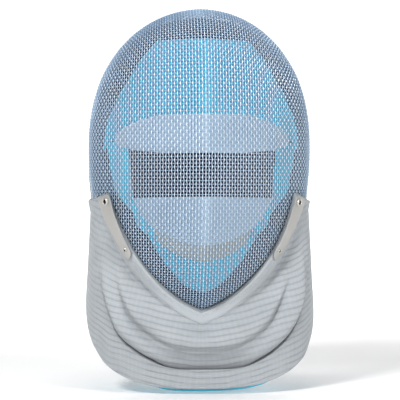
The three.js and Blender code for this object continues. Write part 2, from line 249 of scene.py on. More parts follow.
def addLayer(piece, name, first, second):
    # Two values for each point of a piece, which its material reads
    mesh = piece.data
    corners = np.empty(len(mesh.loops), dtype=int)
    mesh.loops.foreach_get("vertex_index", corners)
    places = np.stack([first[corners], second[corners]], axis=1)
    mesh.uv_layers.new(name=name).data.foreach_set("uv", places.ravel())


# A sheet of squares, bent into shape by place(u, v)
def shapedSheet(name, columns, rows, place, ring=False, outside=True):
    deselectAll()
    bpy.ops.mesh.primitive_grid_add(x_subdivisions=columns, y_subdivisions=rows, size=1, location=(0, 0, 0))
    piece = bpy.context.object
    piece.name = name
    piece.data.name = name
    flat = pointsOf(piece) + 0.5
    movePoints(piece, place(flat[:, 0], flat[:, 1]))
    if ring:
        editAll(piece, bpy.ops.mesh.remove_doubles, threshold=1e-5)
    if outside:
        faceOut(piece)
    return piece


def faceOut(piece):
    mesh = piece.data
    count = len(mesh.polygons)
    centres, normals = np.empty(count * 3), np.empty(count * 3)
    mesh.polygons.foreach_get("center", centres)
    mesh.polygons.foreach_get("normal", normals)
    middle = toMetres(np.array([0, 10.0, -20.0]))
    away = centres.reshape(-1, 3) - middle
    if (away * normals.reshape(-1, 3)).sum() < 0:
        editAll(piece, bpy.ops.mesh.flip_normals)


def smoothShade(piece):
    pickOut(piece)
    bpy.ops.object.shade_smooth()


def joinFaces(piece, other):
    # An outer and an inner face become one closed wall
    deselectAll()
    other.select_set(True)
    piece.select_set(True)
    bpy.context.view_layer.objects.active = piece
    bpy.ops.object.join()
    bpy.ops.object.mode_set(mode="EDIT")
    bpy.ops.mesh.select_mode(type="EDGE")
    bpy.ops.mesh.select_all(action="DESELECT")
    bpy.ops.mesh.select_non_manifold()
    bpy.ops.mesh.bridge_edge_loops()
    bpy.ops.mesh.select_all(action="SELECT")
    bpy.ops.mesh.normals_make_consistent(inside=False)
    bpy.ops.mesh.select_mode(type="VERT")
    bpy.ops.object.mode_set(mode="OBJECT")
    smoothShade(piece)


def drawnPiece(name, lines, radius):
    deselectAll()
    bpy.ops.curve.primitive_bezier_curve_add(location=(0, 0, 0))
    piece = bpy.context.object
    piece.name = name
    curve = piece.data
    curve.splines.clear()
    for line in lines:
        spline = curve.splines.new("POLY")
        spline.points.add(len(line) - 1)
        places = np.ones((len(line), 4))
        places[:, :3] = toMetres(line)
        spline.points.foreach_set("co", places.ravel())
    curve.dimensions = "3D"
    curve.bevel_depth = radius * 0.001
    curve.bevel_resolution = 1
    curve.use_fill_caps = True
    pickOut(piece)
    bpy.ops.object.convert(target="MESH")
    piece = bpy.context.object
    piece.data.name = name
    smoothShade(piece)
    return piece


def finishPiece(piece, material, nodes=()):
    piece.data.materials.clear()
    piece.data.materials.append(material)
    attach(piece, "root")
    if nodes:
        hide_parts(*nodes)


# Shader maths
class Reading:
    def __init__(self, paint, socket):
        self.paint = paint
        self.socket = socket

    def __add__(self, other):
        return self.paint.maths("ADD", self, other)

    def __sub__(self, other):
        return self.paint.maths("SUBTRACT", self, other)

    def __rsub__(self, other):
        return self.paint.maths("SUBTRACT", other, self)

    def __mul__(self, other):
        return self.paint.maths("MULTIPLY", self, other)

    __radd__ = __add__
    __rmul__ = __mul__


class Paint:
    def __init__(self, name, **uniform):
        self.material = bpy.data.materials.new(name)
        self.material.use_nodes = True
        self.tree = self.material.node_tree
        self.shader = self.tree.nodes["Principled BSDF"]
        for key, value in uniform.items():
            self.shader.inputs[key.replace("_", " ")].default_value = value

    def node(self, kind, settings, **inputs):
        node = self.tree.nodes.new(kind)
        for key, value in settings.items():
            setattr(node, key, value)
        for key, value in inputs.items():
            numbered = key[1:].isdigit()
            self.feed(node.inputs[int(key[1:]) if numbered else key.replace("_", " ")], value)
        return node

    def feed(self, target, value):
        if isinstance(value, Reading):
            self.tree.links.new(value.socket, target)
        else:
            target.default_value = value

    def maths(self, operation, *values):
        inputs = {f"i{n}": value for n, value in enumerate(values)}
        return self.out(self.node("ShaderNodeMath", {"operation": operation}, **inputs))

    def out(self, node, name=0):
        return Reading(self, node.outputs[name])

    def place(self):
        return self.out(self.node("ShaderNodeTexCoord", {}), "Object")

    def sheetPlace(self, layer="UVMap"):
        return self.out(self.node("ShaderNodeUVMap", {"uv_map": layer}), "UV")

    def split(self, vector):
        node = self.node("ShaderNodeSeparateXYZ", {}, Vector=vector)
        return [self.out(node, n) for n in "XYZ"]

    def join(self, x, y, z=0.0):
        return self.out(self.node("ShaderNodeCombineXYZ", {}, X=x, Y=y, Z=z))

    def noise(self, vector, scale, detail=2.0, roughness=0.5):
        inputs = {"Vector": vector, "Scale": scale, "Detail": detail, "Roughness": roughness}
        return self.out(self.node("ShaderNodeTexNoise", {}, **inputs), "Fac")

    def blend(self, factor, first, second):
        node = self.node("ShaderNodeMix", {"data_type": "RGBA"})
        self.feed(node.inputs["Factor"], factor)
        for socket, value in ((node.inputs[6], first), (node.inputs[7], second)):
            if isinstance(value, tuple) and len(value) == 3:
                value = (*value, 1)
            self.feed(socket, value)
        return self.out(node, 2)

    def band(self, value, low, high):
        node = self.node("ShaderNodeMapRange", {"interpolation_type": "SMOOTHSTEP"}, Value=value)
        node.inputs["From Min"].default_value = low
        node.inputs["From Max"].default_value = high
        return self.out(node, "Result")

    def wave(self, value, pitch):
        return self.maths("SINE", value * (2 * math.pi / pitch)) * 0.5 + 0.5

    def colour(self, value):
        self.feed(self.shader.inputs["Base Color"], value)

    def rough(self, value):
        self.feed(self.shader.inputs["Roughness"], value)

    def bump(self, height, distance, strength=1.0):
        node = self.node("ShaderNodeBump", {}, Height=height, Distance=distance, Strength=strength)
        self.feed(self.shader.inputs["Normal"], self.out(node))


def galvanisedWire():
    paint = Paint("galvanisedWire", Metallic=0.35)
    place = paint.place()
    crest, _, _ = paint.split(paint.sheetPlace("crest"))
    cloud = paint.noise(place, 60.0, 3.0)
    speck = paint.noise(place, 1400.0, 2.0)
    # Painted highlight colour for the wire crests, with random tone from the noise
    highlightTone = paint.blend(cloud * 0.5 + speck * 0.5, (0.88, 0.95, 1.0), (0.98, 1.0, 1.0))
    # Painted shade colour in the dips, blended to the painted highlight on the crests
    paint.colour(paint.blend(crest, (0.2, 0.38, 0.6), highlightTone))
    paint.rough(0.24 + speck * 0.16)
    return paint.material


def rimSteel():
    paint = Paint("rimSteel", Metallic=0.85, Roughness=0.4)
    place = paint.place()
    cloud = paint.noise(place, 90.0, 4.0)
    paint.colour(paint.blend(cloud, (0.2, 0.22, 0.25), (0.42, 0.45, 0.49)))
    paint.rough(0.3 + cloud * 0.25)
    paint.bump(cloud, 0.0002)
    return paint.material


def brushedPlate():
    paint = Paint("brushedPlate", Metallic=0.95, Roughness=0.3)
    x, y, z = paint.split(paint.place())
    grain = paint.noise(paint.join(x * 60.0, y * 60.0, z * 900.0), 6.0, 4.0, 0.6)
    smear = paint.noise(paint.place(), 45.0, 2.0)
    paint.colour(paint.blend(grain * 0.6 + smear * 0.4, (0.38, 0.375, 0.36), (0.62, 0.61, 0.59)))
    paint.rough(0.2 + grain * 0.2 + smear * 0.15)
    paint.bump(grain, 0.00012, 0.5)
    return paint.material


def wovenCloth(name, dark, light, pitch=0.0012, rough=0.85, sheen=0.25, cloudSize=55.0):
    paint = Paint(name, Roughness=rough, Sheen_Weight=sheen, Sheen_Roughness=0.5)
    x, y, z = paint.split(paint.place())
    warp = paint.wave(x + y * 0.7, pitch)
    weft = paint.wave(z, pitch)
    weave = warp * weft
    cloud = paint.noise(paint.place(), cloudSize, 3.0)
    paint.colour(paint.blend(cloud * 0.7 + weave * 0.3, dark, light))
    paint.bump(weave + cloud * 1.5, 0.0004, 0.6)
    return paint.material


wireMetal = galvanisedWire()
rimMetal = rimSteel()
plateMetal = brushedPlate()
skyCloth = wovenCloth("skyLining", (0.04, 0.48, 0.68), (0.09, 0.67, 0.9))
paleCloth = wovenCloth("palePadding", (0.48, 0.63, 0.75), (0.64, 0.78, 0.88))
bindingCloth = wovenCloth("bindingTape", (0.36, 0.4, 0.38), (0.5, 0.53, 0.5), 0.002)
navyCloth = wovenCloth("navyPadding", (0.006, 0.014, 0.042), (0.014, 0.03, 0.075), sheen=0.05)


# Woven wire: a net whose wires keep their spacing while the angle between them gives way
weave = {
    "pitch": 3.1,
    "wire": 0.88,  # diameter
    "acrossWire": 0.7,
    "startZ": -15.0,  # height of the straight cross wire
    "rowsUp": 84,
    "rowsDown": 66,
    "columns": 62,
    "lift": 0.7,  # how far a wire bows out at a crossing, in diameters
    "furthestBack": 0.75 * bowl["back"],
    "leastSpread": 0.2,  # the net ends where its squares have given way further than this
    "pastRim": 4.5,
    "acrossHighlight": 0.45,  # painted shade: the cross wires get a weaker painted crest highlight
    "outlineShade": 0.35,  # painted shade round the outline
}


def bowlDepth(points, grow):
    x, y, z = points[..., 0], points[..., 1], points[..., 2]
    halfWidth, front, back = bowl["halfWidth"] + grow, bowl["front"] + grow, bowl["back"] + grow
    reach = np.where(z > 0, bowl["top"], bowl["low"]) + grow
    level = np.abs(z) / reach
    squared = 1 - level ** bowl["levelPower"]
    size = np.sqrt(np.maximum(squared, 4e-4))
    centreY = level**2 * np.where(z > 0, -bowl["crownLean"], bowl["chinSlide"])
    share = np.abs(x) / halfWidth
    ahead = (centreY - y) / front
    c = bowl["crease"]
    behind = ahead * front / back
    ahead_ = (ahead - c * (size - share)) / (1 - c)
    return np.where(ahead > 0, ahead_ * np.abs(ahead_), behind * behind) + share * share - squared


def bowlSlope(points, grow):
    step = 0.01
    slope = np.empty(points.shape)
    for axis in range(3):
        shift = np.zeros(3)
        shift[axis] = step
        slope[..., axis] = (bowlDepth(points + shift, grow) - bowlDepth(points - shift, grow)) / (2 * step)
    return slope


def netCorner(first, second, corner, pitch, grow):
    point = first + second - corner
    for _ in range(9):
        a, b = point - first, point - second
        misses = np.stack(
            [(a * a).sum(-1) - pitch**2, (b * b).sum(-1) - pitch**2, bowlDepth(point, grow)], axis=-1
        )
        rows = np.stack([2 * a, 2 * b, bowlSlope(point, grow)], axis=-2)
        rows = rows + np.eye(3) * 1e-9
        step = np.linalg.solve(rows, misses[..., None])[..., 0]
        length = np.linalg.norm(step, axis=-1, keepdims=True)
        point = point - step * np.minimum(1, 0.6 * pitch / np.maximum(length, 1e-9))
    return point


def marchWire(start, heading, held, count, pitch, grow):
    line = [np.array(start, dtype=float)]
    ahead = np.array(heading, dtype=float)
    for _ in range(count):
        last = line[-1]
        point = last + ahead * pitch
        for _ in range(9):
            a = point - last
            misses = np.array([(a * a).sum() - pitch**2, bowlDepth(point, grow), point[held] - start[held]])
            level = np.zeros(3)
            level[held] = 1
            rows = np.stack([2 * a, bowlSlope(point, grow), level])
            point = point - np.linalg.solve(rows, misses)
        ahead = unit(point - last)
        line.append(point)
    return np.array(line)


def weaveQuarter(up):
    pitch, grow = weave["pitch"], -bowl["wall"] / 2
    nose = onFront(0.0, weave["startZ"], grow)
    rows = weave["rowsUp"] if up else weave["rowsDown"]
    columns = weave["columns"]
    ridge = marchWire(nose, (0, 0, 1 if up else -1), 0, rows, pitch, grow)
    side = marchWire(nose, (1, 0, 0), 2, columns, pitch, grow)
    net = np.full((columns + 1, rows + 1, 3), np.nan)
    net[0, :] = ridge
    net[:, 0] = side
    for diagonal in range(2, columns + rows + 1):
        i = np.arange(max(1, diagonal - rows), min(columns, diagonal - 1) + 1)
        j = diagonal - i
        first, second, corner = net[i - 1, j], net[i, j - 1], net[i - 1, j - 1]
        ready = np.isfinite(first).all(-1) & np.isfinite(second).all(-1) & np.isfinite(corner).all(-1)
        if not ready.any():
            continue
        i, j = i[ready], j[ready]
        point = netCorner(first[ready], second[ready], corner[ready], pitch, grow)
        good = np.abs(bowlDepth(point, grow)) < 1e-3
        good &= point[:, 1] < weave["furthestBack"]
        spread = np.linalg.norm(np.cross(point - first[ready], point - second[ready]), axis=-1) / pitch**2
        good &= spread > weave["leastSpread"]
        point[~good] = np.nan
        net[i, j] = point
    return net


def netPoints():
    lower, upper = weaveQuarter(False), weaveQuarter(True)
    half = np.concatenate([lower[:, :0:-1], upper], axis=1)
    return np.concatenate([half[:0:-1] * (-1.0, 1.0, 1.0), half], axis=0)


def wireLines(nodes, normals, shown, lift):
    lines = []
    for points, out, inside, side in zip(nodes, normals, shown, lift):
        edges = np.flatnonzero(np.diff(np.concatenate([[False], inside, [False]]).astype(int)))
        for start, end in zip(edges[::2], edges[1::2]):
            if end - start < 2:
                continue
            line = np.empty((2 * (end - start) - 1, 3))
            line[::2] = points[start:end] + out[start:end] * side[start:end, None]
            line[1::2] = (points[start : end - 1] + points[start + 1 : end]) / 2
            lines.append(line)
    return lines


def addCrestShading(piece, bright):
    # Painted highlight and shade on the wires: 1 (painted highlight) where a wire bows out over another, 0
    # (painted shade) where it dips behind
    points = pointsOf(piece) * 1000 + (0, 0, seatZ)
    grow = -bowl["wall"] / 2
    out = bowlDepth(points, grow) / np.maximum(np.linalg.norm(bowlSlope(points, grow), axis=1), 1e-6)
    crest = np.clip((out / weave["wire"] + 0.3) / 1.15, 0, 1) * bright
    reach = np.where(points[:, 2] > 0, bowl["top"], bowl["low"])
    edge = np.hypot(points[:, 0] / bowl["halfWidth"], points[:, 2] / reach)
    # Painted shade: the crest highlight is dimmed towards the bowl's outline
    crest = crest * (1 - weave["outlineShade"] * eased((edge - 0.84) / 0.14))
    addLayer(piece, "crest", crest, 0 * crest)


def buildMesh():
    nodes = netPoints()
    normals = unit(bowlSlope(nodes, -bowl["wall"] / 2))
    shown = np.isfinite(nodes).all(-1)
    edge = rimYAt(np.where(shown, nodes[..., 2], 0)) + weave["pastRim"]
    shown &= np.where(shown, nodes[..., 1], 0) < edge
    i, j = np.indices(shown.shape)
    lift = np.where((i + j) % 2 == 0, 1, -1) * weave["lift"] * weave["wire"]
    middle, level = shown.shape[0] // 2, weave["rowsDown"]
    families = {
        "wiresUpLeft": (slice(0, middle), False),
        "wiresUpRight": (slice(middle, None), False),
        "wiresAcrossLow": (slice(0, level), True),
        "wiresAcrossHigh": (slice(level, None), True),
    }
    for name, (part, across) in families.items():
        table = [nodes, normals, shown, -lift if across else lift]
        if across:
            table = [np.swapaxes(values, 0, 1) for values in table]
        width = weave["acrossWire"] if across else weave["wire"]
        piece = drawnPiece(name, wireLines(*[values[part] for values in table]), width / 2)
        # Cross wires get a weaker painted highlight than the upright ones
        addCrestShading(piece, weave["acrossHighlight"] if across else 1.0)
        finishPiece(piece, wireMetal, ["mesh_dome"] if name == "wiresAcrossHigh" else ())
        print(name, len(piece.data.polygons), "faces")


buildMesh()


# Metal band folded over the edge of the mesh
band = {
    "width": 6.0,
    "proud": 0.6,
    "gap": 0.4,
    "segments": 300,
    "round": 0.45,  # how square the folded section is, 1 is round
}


def powered(value, power):
    return np.sign(value) * np.abs(value) ** power


def buildRim():
    deep = bowl["wall"] + 2 * band["proud"]

    def place(u, v):
        angle = 2 * math.pi * u
        turn = 2 * math.pi * v
        share = 0.5 + 0.5 * powered(np.cos(turn), band["round"])
        grow = band["proud"] - deep * (0.5 + 0.5 * powered(np.sin(turn), band["round"]))
        dents = 0.12 * np.sin(angle * 23) * np.sin(angle * 7 + 1)
        return onBowl(angle, rimYAround(angle, band["gap"] + share * band["width"]), grow + dents)

    rim = shapedSheet("rimFold", band["segments"], 20, place, ring=True)
    smoothShade(rim)
    finishPiece(rim, rimMetal, ["rim_band"])


buildRim()
print("mesh and rim ready")


# Padding inside the bowl
padding = {
    "gap": 1.4,
    "voxel": 2.7,
    "pressure": 4.0,
    "frames": 20,
    "cap": 3.0,  # how far the filling may push a point
    "start": -1.1,  # how far inside its outline a pad starts; remeshing rounds its edges off
}
lining = {
    "padSide": 0.76 * bowl["halfWidth"],
    "browTop": 0.75 * bowl["top"],
    "browBottom": 0.205 * bowl["top"],
    "foreheadBottom": -0.046 * bowl["low"],
    "windowBottom": -0.29 * bowl["low"],
    "chinPadBottom": -0.545 * bowl["low"],
    "chinLinerBottom": -0.8 * bowl["low"],
    "bindingWidth": 14.0,
    "cheekSlant": 14.0,  # how much higher a cheek pad ends on its outer side
    "tuck": 5.0,  # how far a pad's edge runs in behind its neighbour
}


def swollen(piece):
    before = pointsOf(piece)
    after = before
    pickOut(piece)
    bpy.ops.object.modifier_add(type="CLOTH")
    cloth = piece.modifiers[-1]
    cloth.settings.use_pressure = True
    cloth.settings.uniform_pressure_force = padding["pressure"]
    cloth.settings.effector_weights.gravity = 0
    cloth.settings.quality = 4
    cloth.point_cache.frame_start = 1
    cloth.point_cache.frame_end = padding["frames"]
    for step in range(1, padding["frames"] + 1):
        bpy.context.scene.frame_set(step)
    bpy.ops.object.modifier_apply(modifier=cloth.name)
    bpy.context.scene.frame_set(1)
    after = pointsOf(piece)
    move = (after - before) * 1000
    length = np.linalg.norm(move, axis=1, keepdims=True)
    move *= np.minimum(1, padding["cap"] / np.maximum(length, 1e-9))
    points = before * 1000 + (0, 0, seatZ) + move
    limit = -bowl["wall"] - padding["gap"] * 0.6
    for _ in range(3):
        slope = bowlSlope(points, limit)
        steep = np.linalg.norm(slope, axis=1)
        outside = np.maximum(bowlDepth(points, limit) / np.maximum(steep, 1e-6), 0)
        points -= unit(slope) * outside[:, None]
    movePoints(piece, points)


def frontPad(name, columns, rows, left, right, top, bottom, thickness, swell=True, behind=0.0):
    shrink = padding["start"] if swell else 0.0

    def place(u, v):
        x = mixed(left(v), right(v), u)
        z = mixed(top(u), bottom(u), v)
        x = x - np.sign(2 * u - 1) * shrink * np.abs(2 * u - 1)
        z = z + np.sign(2 * v - 1) * shrink * np.abs(2 * v - 1)
        return onFront(x, z, -bowl["wall"] - padding["gap"] - behind)

    piece = shapedSheet(name, columns, rows, place)
    puff = piece.vertex_groups.new(name="puff")
    grid = np.indices((rows + 1, columns + 1)) / np.array([rows, columns])[:, None, None]
    down, across = grid[0].ravel(), grid[1].ravel()
    crown = 0.35 + 0.65 * np.sqrt(
        np.sin(math.pi * np.clip(across, 0.01, 0.99)) * np.sin(math.pi * np.clip(down, 0.03, 0.97))
    )
    for index, weight in enumerate(crown):
        puff.add([index], float(weight), "REPLACE")
    applyModifier(piece, "SOLIDIFY", thickness=thickness * 0.001, offset=-1, vertex_group="puff")
    if swell:
        applyModifier(piece, "REMESH", mode="VOXEL", voxel_size=padding["voxel"] * 0.001)
        applyModifier(piece, "SMOOTH", factor=0.5, iterations=2)
        swollen(piece)
    applyModifier(piece, "SUBSURF", levels=1)
    smoothShade(piece)
    return piece


def paddedFront(name, node, material, slot, fill, *shape, behind=0.0):
    pad = frontPad(name, *shape, behind=behind)
    finishPiece(pad, material, [node])
    print(name, len(pad.data.polygons), "faces")


def seamAt(x):
    return lining["browBottom"] - 0.14 * bowl["top"] * (x / lining["padSide"]) ** 4


def cupHalf(v):
    return mixed(0.6, 0.44, np.clip(v, 0, 1) ** 1.5) * bowl["halfWidth"]


def cupBottom(u):
    return lining["chinPadBottom"] + 0.1 * bowl["low"] * (2 * u - 1) ** 2


def cheekInner(z):
    window, forehead = lining["windowBottom"], lining["foreheadBottom"]
    beside = np.clip((window - z) / (window - cupBottom(1.0)), 0, 1)
    above = np.clip((z - window) / (forehead - window), 0, 1)
    return cupHalf(beside) + 2 * padding["gap"] + above * 0.03 * bowl["halfWidth"]


def buildLiner():
    half, low = bowl["halfWidth"], bowl["low"]
    padSide, forehead = lining["padSide"], lining["foreheadBottom"]

    def browHalf(v):
        return mixed(0.38, 0.85, np.sin(np.clip(v, 0, 1) * math.pi / 2) ** 0.8) * half

    paddedFront(
        "browPad", "brow_liner", skyCloth, "blue_cloth", 0.4, 64, 36,
        lambda v: -browHalf(v), browHalf,
        lambda u: lining["browTop"] + 0 * u,
        lambda u: seamAt((2 * u - 1) * browHalf(1)) + padding["gap"] - lining["tuck"],
        9.0, behind=2.0,
    )
    paddedFront(
        "foreheadPad", "forehead_pad", paleCloth, "pale_cloth", 0.7, 70, 16,
        lambda v: -padSide + 0 * v, lambda v: padSide + 0 * v,
        lambda u: seamAt((2 * u - 1) * padSide), lambda u: forehead + 0.06 * bowl["top"] * (2 * u - 1) ** 4,
        15.0,
    )
    cheekTop, cheekBottom = forehead + 2 * lining["tuck"], -0.52 * low
    for side, name in ((-1, "left"), (1, "right")):
        def inner(v, side=side):
            z = mixed(cheekTop, cheekBottom, v)
            hidden = lining["tuck"] * eased((lining["windowBottom"] - z) / 8)
            return side * (cheekInner(z) - hidden)

        def outer(v, side=side):
            return side * (cheekInner(mixed(cheekTop, cheekBottom, v)) + mixed(0.17, 0.12, v) * half)

        paddedFront(
            "cheekPad_" + name, "cheek_liner_" + name, skyCloth, "blue_cloth", 0.5, 8, 50,
            outer if side < 0 else inner, inner if side < 0 else outer,
            lambda u: cheekTop + 0 * u,
            lambda u, side=side: cheekBottom + lining["cheekSlant"] * (0.5 + side * (u - 0.5)),
            6.0, behind=2.0,
        )
    paddedFront(
        "chinCup", "chin_pad", paleCloth, "pale_cloth", 0.6, 60, 24,
        lambda v: -cupHalf(v), cupHalf,
        lambda u: lining["windowBottom"] + 0 * u, cupBottom,
        13.0,
    )

    binding = frontPad(
        "chinTape", 80, 6,
        lambda v: -cupHalf(1) * (1 - 0.12 * v), lambda v: cupHalf(1) * (1 - 0.12 * v),
        lambda u: cupBottom(u) + lining["tuck"], lambda u: cupBottom(u) - lining["bindingWidth"],
        3.0, swell=False, behind=1.2,
    )
    finishPiece(binding, bindingCloth, ["chin_binding"])

    throat = frontPad(
        "throatLiner", 46, 14,
        lambda v: -cupHalf(1) * (1.14 - 0.4 * v**1.8), lambda v: cupHalf(1) * (1.14 - 0.4 * v**1.8),
        lambda u: cupBottom(u) + lining["tuck"],
        lambda u: lining["chinLinerBottom"] + 0.17 * low * (2 * u - 1) ** 2,
        4.0, swell=False, behind=2.6,
    )
    finishPiece(throat, skyCloth, ["chin_liner"])


buildLiner()


roll = {
    "thickness": 18.0,
    "jawThickness": 27.0,
    "shoulder": 5.0,  # extra thickness beside the brow pad
    "heel": 0.12,  # share of the thickness that lies towards the mesh
    "width": 28.0,
    "crownWidth": 62.0,
    "channels": 21,
    "channelDepth": 0.16,
}


def buildRoll():
    def place(u, v):
        turn = mixed(-1.0, 1.0, u)
        angle = turn * math.pi
        jaw = eased((np.abs(turn) - 0.5) / 0.16)
        crown = 1 - eased((np.abs(turn) - 0.135) / 0.42)
        width = mixed(roll["width"], roll["crownWidth"], crown)
        thickness = mixed(roll["thickness"], roll["jawThickness"], jaw)
        thickness = thickness + roll["shoulder"] * hump(np.abs(turn) - 0.28, 0.09)
        seam = hump((u * roll["channels"]) % 1.0 - 0.5, 0.07) * roll["channelDepth"]
        section = 2 * math.pi * v
        share = 0.5 + 0.5 * powered(np.cos(section), 0.8)
        up = powered(np.sin(section), 0.75)
        heel = roll["heel"]
        depth = np.where(up > 0, heel + (1 - heel) * up * (1 - seam), heel * (1 + up))
        y = rimYAround(angle) - padding["gap"] - share * width
        surface = onBowl(angle, y, -bowl["wall"] - padding["gap"])
        return inward(surface, depth * thickness)

    piece = shapedSheet("rimRoll", 400, 30, place, ring=True, outside=False)
    editAll(piece, bpy.ops.mesh.normals_make_consistent, inside=False)
    smoothShade(piece)
    finishPiece(piece, navyCloth, ["rim_pad"])


buildRoll()
print("padding ready")


# Cloth bib. turn runs from -1 at the rear left edge round the chin to 1 at the rear right
bib = {
    "cloth": 3.0,
    "seatGap": 0.4,
    "edgeY": -40.0,
    "collar": 16.0,
    "rearY": 40.0,
    "drop": 69.0,
    "hemHalfWidth": 110.5,
    "hemTuckLeft": 3.5,
    "hemForward": 8.0,
    "hemRise": 80.0,
    "hemPower": 2.8,
    "hemWidestY": 25.0,
    "hemRearBack": 27.0,
    "hemRearRise": 27.0,
    "bulge": 7.0,
    "waist": 3.0,
    "edgeTurn": 0.72,
    "leftForward": 3.5,
    "edgeTopAngle": 117.0,
    "rearAngle": 115.5,
    "collarShare": 0.16,
    "columns": 280,
    "rows": 124,
    "collarRows": 18,
}
# Distance of each crease from the hem, in mm, at places round the bib
creaseTurns = [-0.7, -0.55, -0.48, -0.44, -0.37, -0.27, -0.19, -0.13, -0.07]
creaseTurns += [0.0, 0.07, 0.15, 0.22, 0.31, 0.4, 0.49, 0.56, 0.7]
creaseHeights = [100, 74, 61, 51, 38, 30.6, 26, 23.2, 22.3, 22.2, 22.2, 22.6, 25, 30, 36.2, 46, 60, 92]
softTurns = [-0.6, -0.42, -0.36, -0.3, -0.23, -0.13, -0.05, 0.02, 0.1, 0.16, 0.27, 0.34, 0.42, 0.6]
softHeights = [112, 80, 66, 54, 46, 37.5, 34, 33.4, 34.4, 38, 49, 62, 77, 110]
folds = {
    "roll": 6.5,  # how far the roll of cloth above the crease stands out
    "slot": 4.6,
    "overhang": 5.4,
    "valley": 3.8,
    "swell": 2.0,
    "flare": 2.2,
}


def outOfBib(turn):
    angle = (math.pi / 2) * np.minimum(np.abs(turn) / 0.9, 1) * np.sign(turn)
    return stacked(np.sin(angle), -np.cos(angle), 0.0)


def collarPoint(turn, share, depth):
    turn, share, depth = np.broadcast_arrays(*map(np.asarray, (turn, share, depth)))
    around = np.abs(turn)
    side = np.where(turn < 0, -1.0, 1.0)
    rear = np.maximum((around - bib["edgeTurn"]) / (1 - bib["edgeTurn"]), 0)
    top, back = math.radians(bib["edgeTopAngle"]), math.radians(bib["rearAngle"])
    angle = np.where(rear > 0, mixed(top, back, rear), mixed(math.pi, top, around / bib["edgeTurn"]))
    forward = bib["leftForward"] * np.sin(math.pi * around / bib["edgeTurn"])
    forward = np.where((turn < 0) & (rear == 0), forward, 0.0)
    y = mixed(bib["edgeY"], bib["rearY"], rear) - forward
    grow = 2 * bib["seatGap"] + np.maximum(bib["cloth"] - depth, 0)
    start = onBowl(side * angle, y, grow)
    lean = 1 - eased(rear * 2)
    droop = np.sign(turn) * eased(rear * 1.4) * 0.11
    # the inner face runs on a little, round the outside of the bend below the collar
    run = share * (bib["collar"] + 1.17 * np.minimum(depth, bib["cloth"]))
    resting = onBowl(side * angle + droop * share, y + lean * run, grow)
    hanging = start + stacked(0.0, -2 * share, -0.85 * bib["collar"] * share)
    setBack = mixed(0.25, 1.0, eased(3 * share)) * (1 - eased(around / 0.26))
    hanging = hanging - outOfBib(turn) * (np.minimum(depth, bib["cloth"]) * setBack)[..., None]
    return mixed(hanging, resting, eased((around - 0.04) / 0.3)[..., None])


chinZ = float(onBowl(math.pi, bib["edgeY"], bib["cloth"] + bib["seatGap"])[2])


def hemPoint(turn):
    around = np.abs(turn)
    swing = (math.pi / 2) * np.minimum(around / 0.86, 1)
    out = np.sin(swing) ** (2 / bib["hemPower"])
    up = 1 - np.cos(swing) ** (2 / bib["hemPower"])
    rear = np.maximum((around - 0.86) / 0.14, 0)
    halfWidth = bib["hemHalfWidth"] - np.where(turn < 0, bib["hemTuckLeft"], 0) * eased(out * 2)
    frontY = bib["edgeY"] - bib["hemForward"]
    ahead = np.sqrt(np.maximum(1 - np.minimum(out, 1) ** 2.2, 0))
    y = bib["hemWidestY"] - (bib["hemWidestY"] - frontY) * ahead + bib["hemRearBack"] * rear
    z = chinZ - bib["drop"] + bib["hemRise"] * up + bib["hemRearRise"] * rear
    return stacked(np.sign(turn) * (halfWidth * out - 2 * rear), y, z)


def hangingPoint(turn, t, depth):
    out = outOfBib(turn)
    depth = np.asarray(depth, dtype=float)
    beyond = np.maximum(depth - bib["cloth"], 0)[..., None]
    start = collarPoint(turn, 1.0, np.minimum(depth, bib["cloth"])) - out * beyond
    end = hemPoint(turn) - out * depth[..., None]
    middle = (start + end) / 2 + out * (2 * bib["bulge"] * (1 - 0.7 * np.abs(turn)))[..., None]
    middle = middle - out * (2 * bib["waist"] * eased((np.abs(turn) - 0.6) / 0.2))[..., None]
    t = np.clip(t, 0, 1.2)[..., None]
    point = start * (1 - t) ** 2 + middle * 2 * t * (1 - t) + end * t * t
    return point, np.linalg.norm(end - start, axis=-1)


def foldStrengths(turn):
    crease = eased((turn + 0.58) / 0.14) * (1 - eased((turn - 0.5) / 0.14))
    soft = eased((turn + 0.44) / 0.12) * (1 - eased((turn - 0.34) / 0.12))
    middle = 1 - eased((np.abs(turn - 0.02) - 0.08) / 0.12)
    return crease, soft, middle


def foldMove(turn, fromHem, inside):
    crease, soft, middle = foldStrengths(turn)
    first = smoothTable(creaseTurns, creaseHeights, turn)
    second = smoothTable(softTurns, softHeights, turn)
    above = fromHem - first
    span = np.maximum(second - first, 8)
    rise = eased(above / (9.0 if inside else 7.0))
    fall = np.cos(math.pi / 2 * np.clip(above / span, 0, 1)) ** 2
    out = folds["roll"] * (0.62 + 0.38 * middle) * crease * rise * fall
    out -= crease * folds["slot"] * (1.3 * hump(above, 6.0) if inside else hump(above + 0.4, 1.9))
    out -= folds["valley"] * soft * (hump(fromHem - second, 7.0) if inside else hump(fromHem - second, 4.2))
    out += folds["swell"] * soft * hump(fromHem - second - 14, 9.0)
    out += folds["flare"] * crease * np.clip(1 - fromHem / first, 0, 1) ** 2
    # a pulled wrinkle from the left plate and two upright ones below it
    out -= 0.9 * hump(fromHem - 112 + (turn + 0.62) * 40, 2.2) * hump(turn + 0.63, 0.07)
    out += 0.7 * hump(turn + 0.5, 0.03) * hump(fromHem - 70, 26)
    out -= 0.8 * hump(turn + 0.44, 0.03) * hump(fromHem - 78, 24)
    out -= 0.8 * hump(turn - 0.6, 0.025) * hump(fromHem - 84, 22)
    drop = folds["overhang"] * crease * (0.45 + 0.55 * middle) * hump(above - 1.6, 3.0) * (above > -3)
    return out, drop * (0.3 if inside else 1.0)


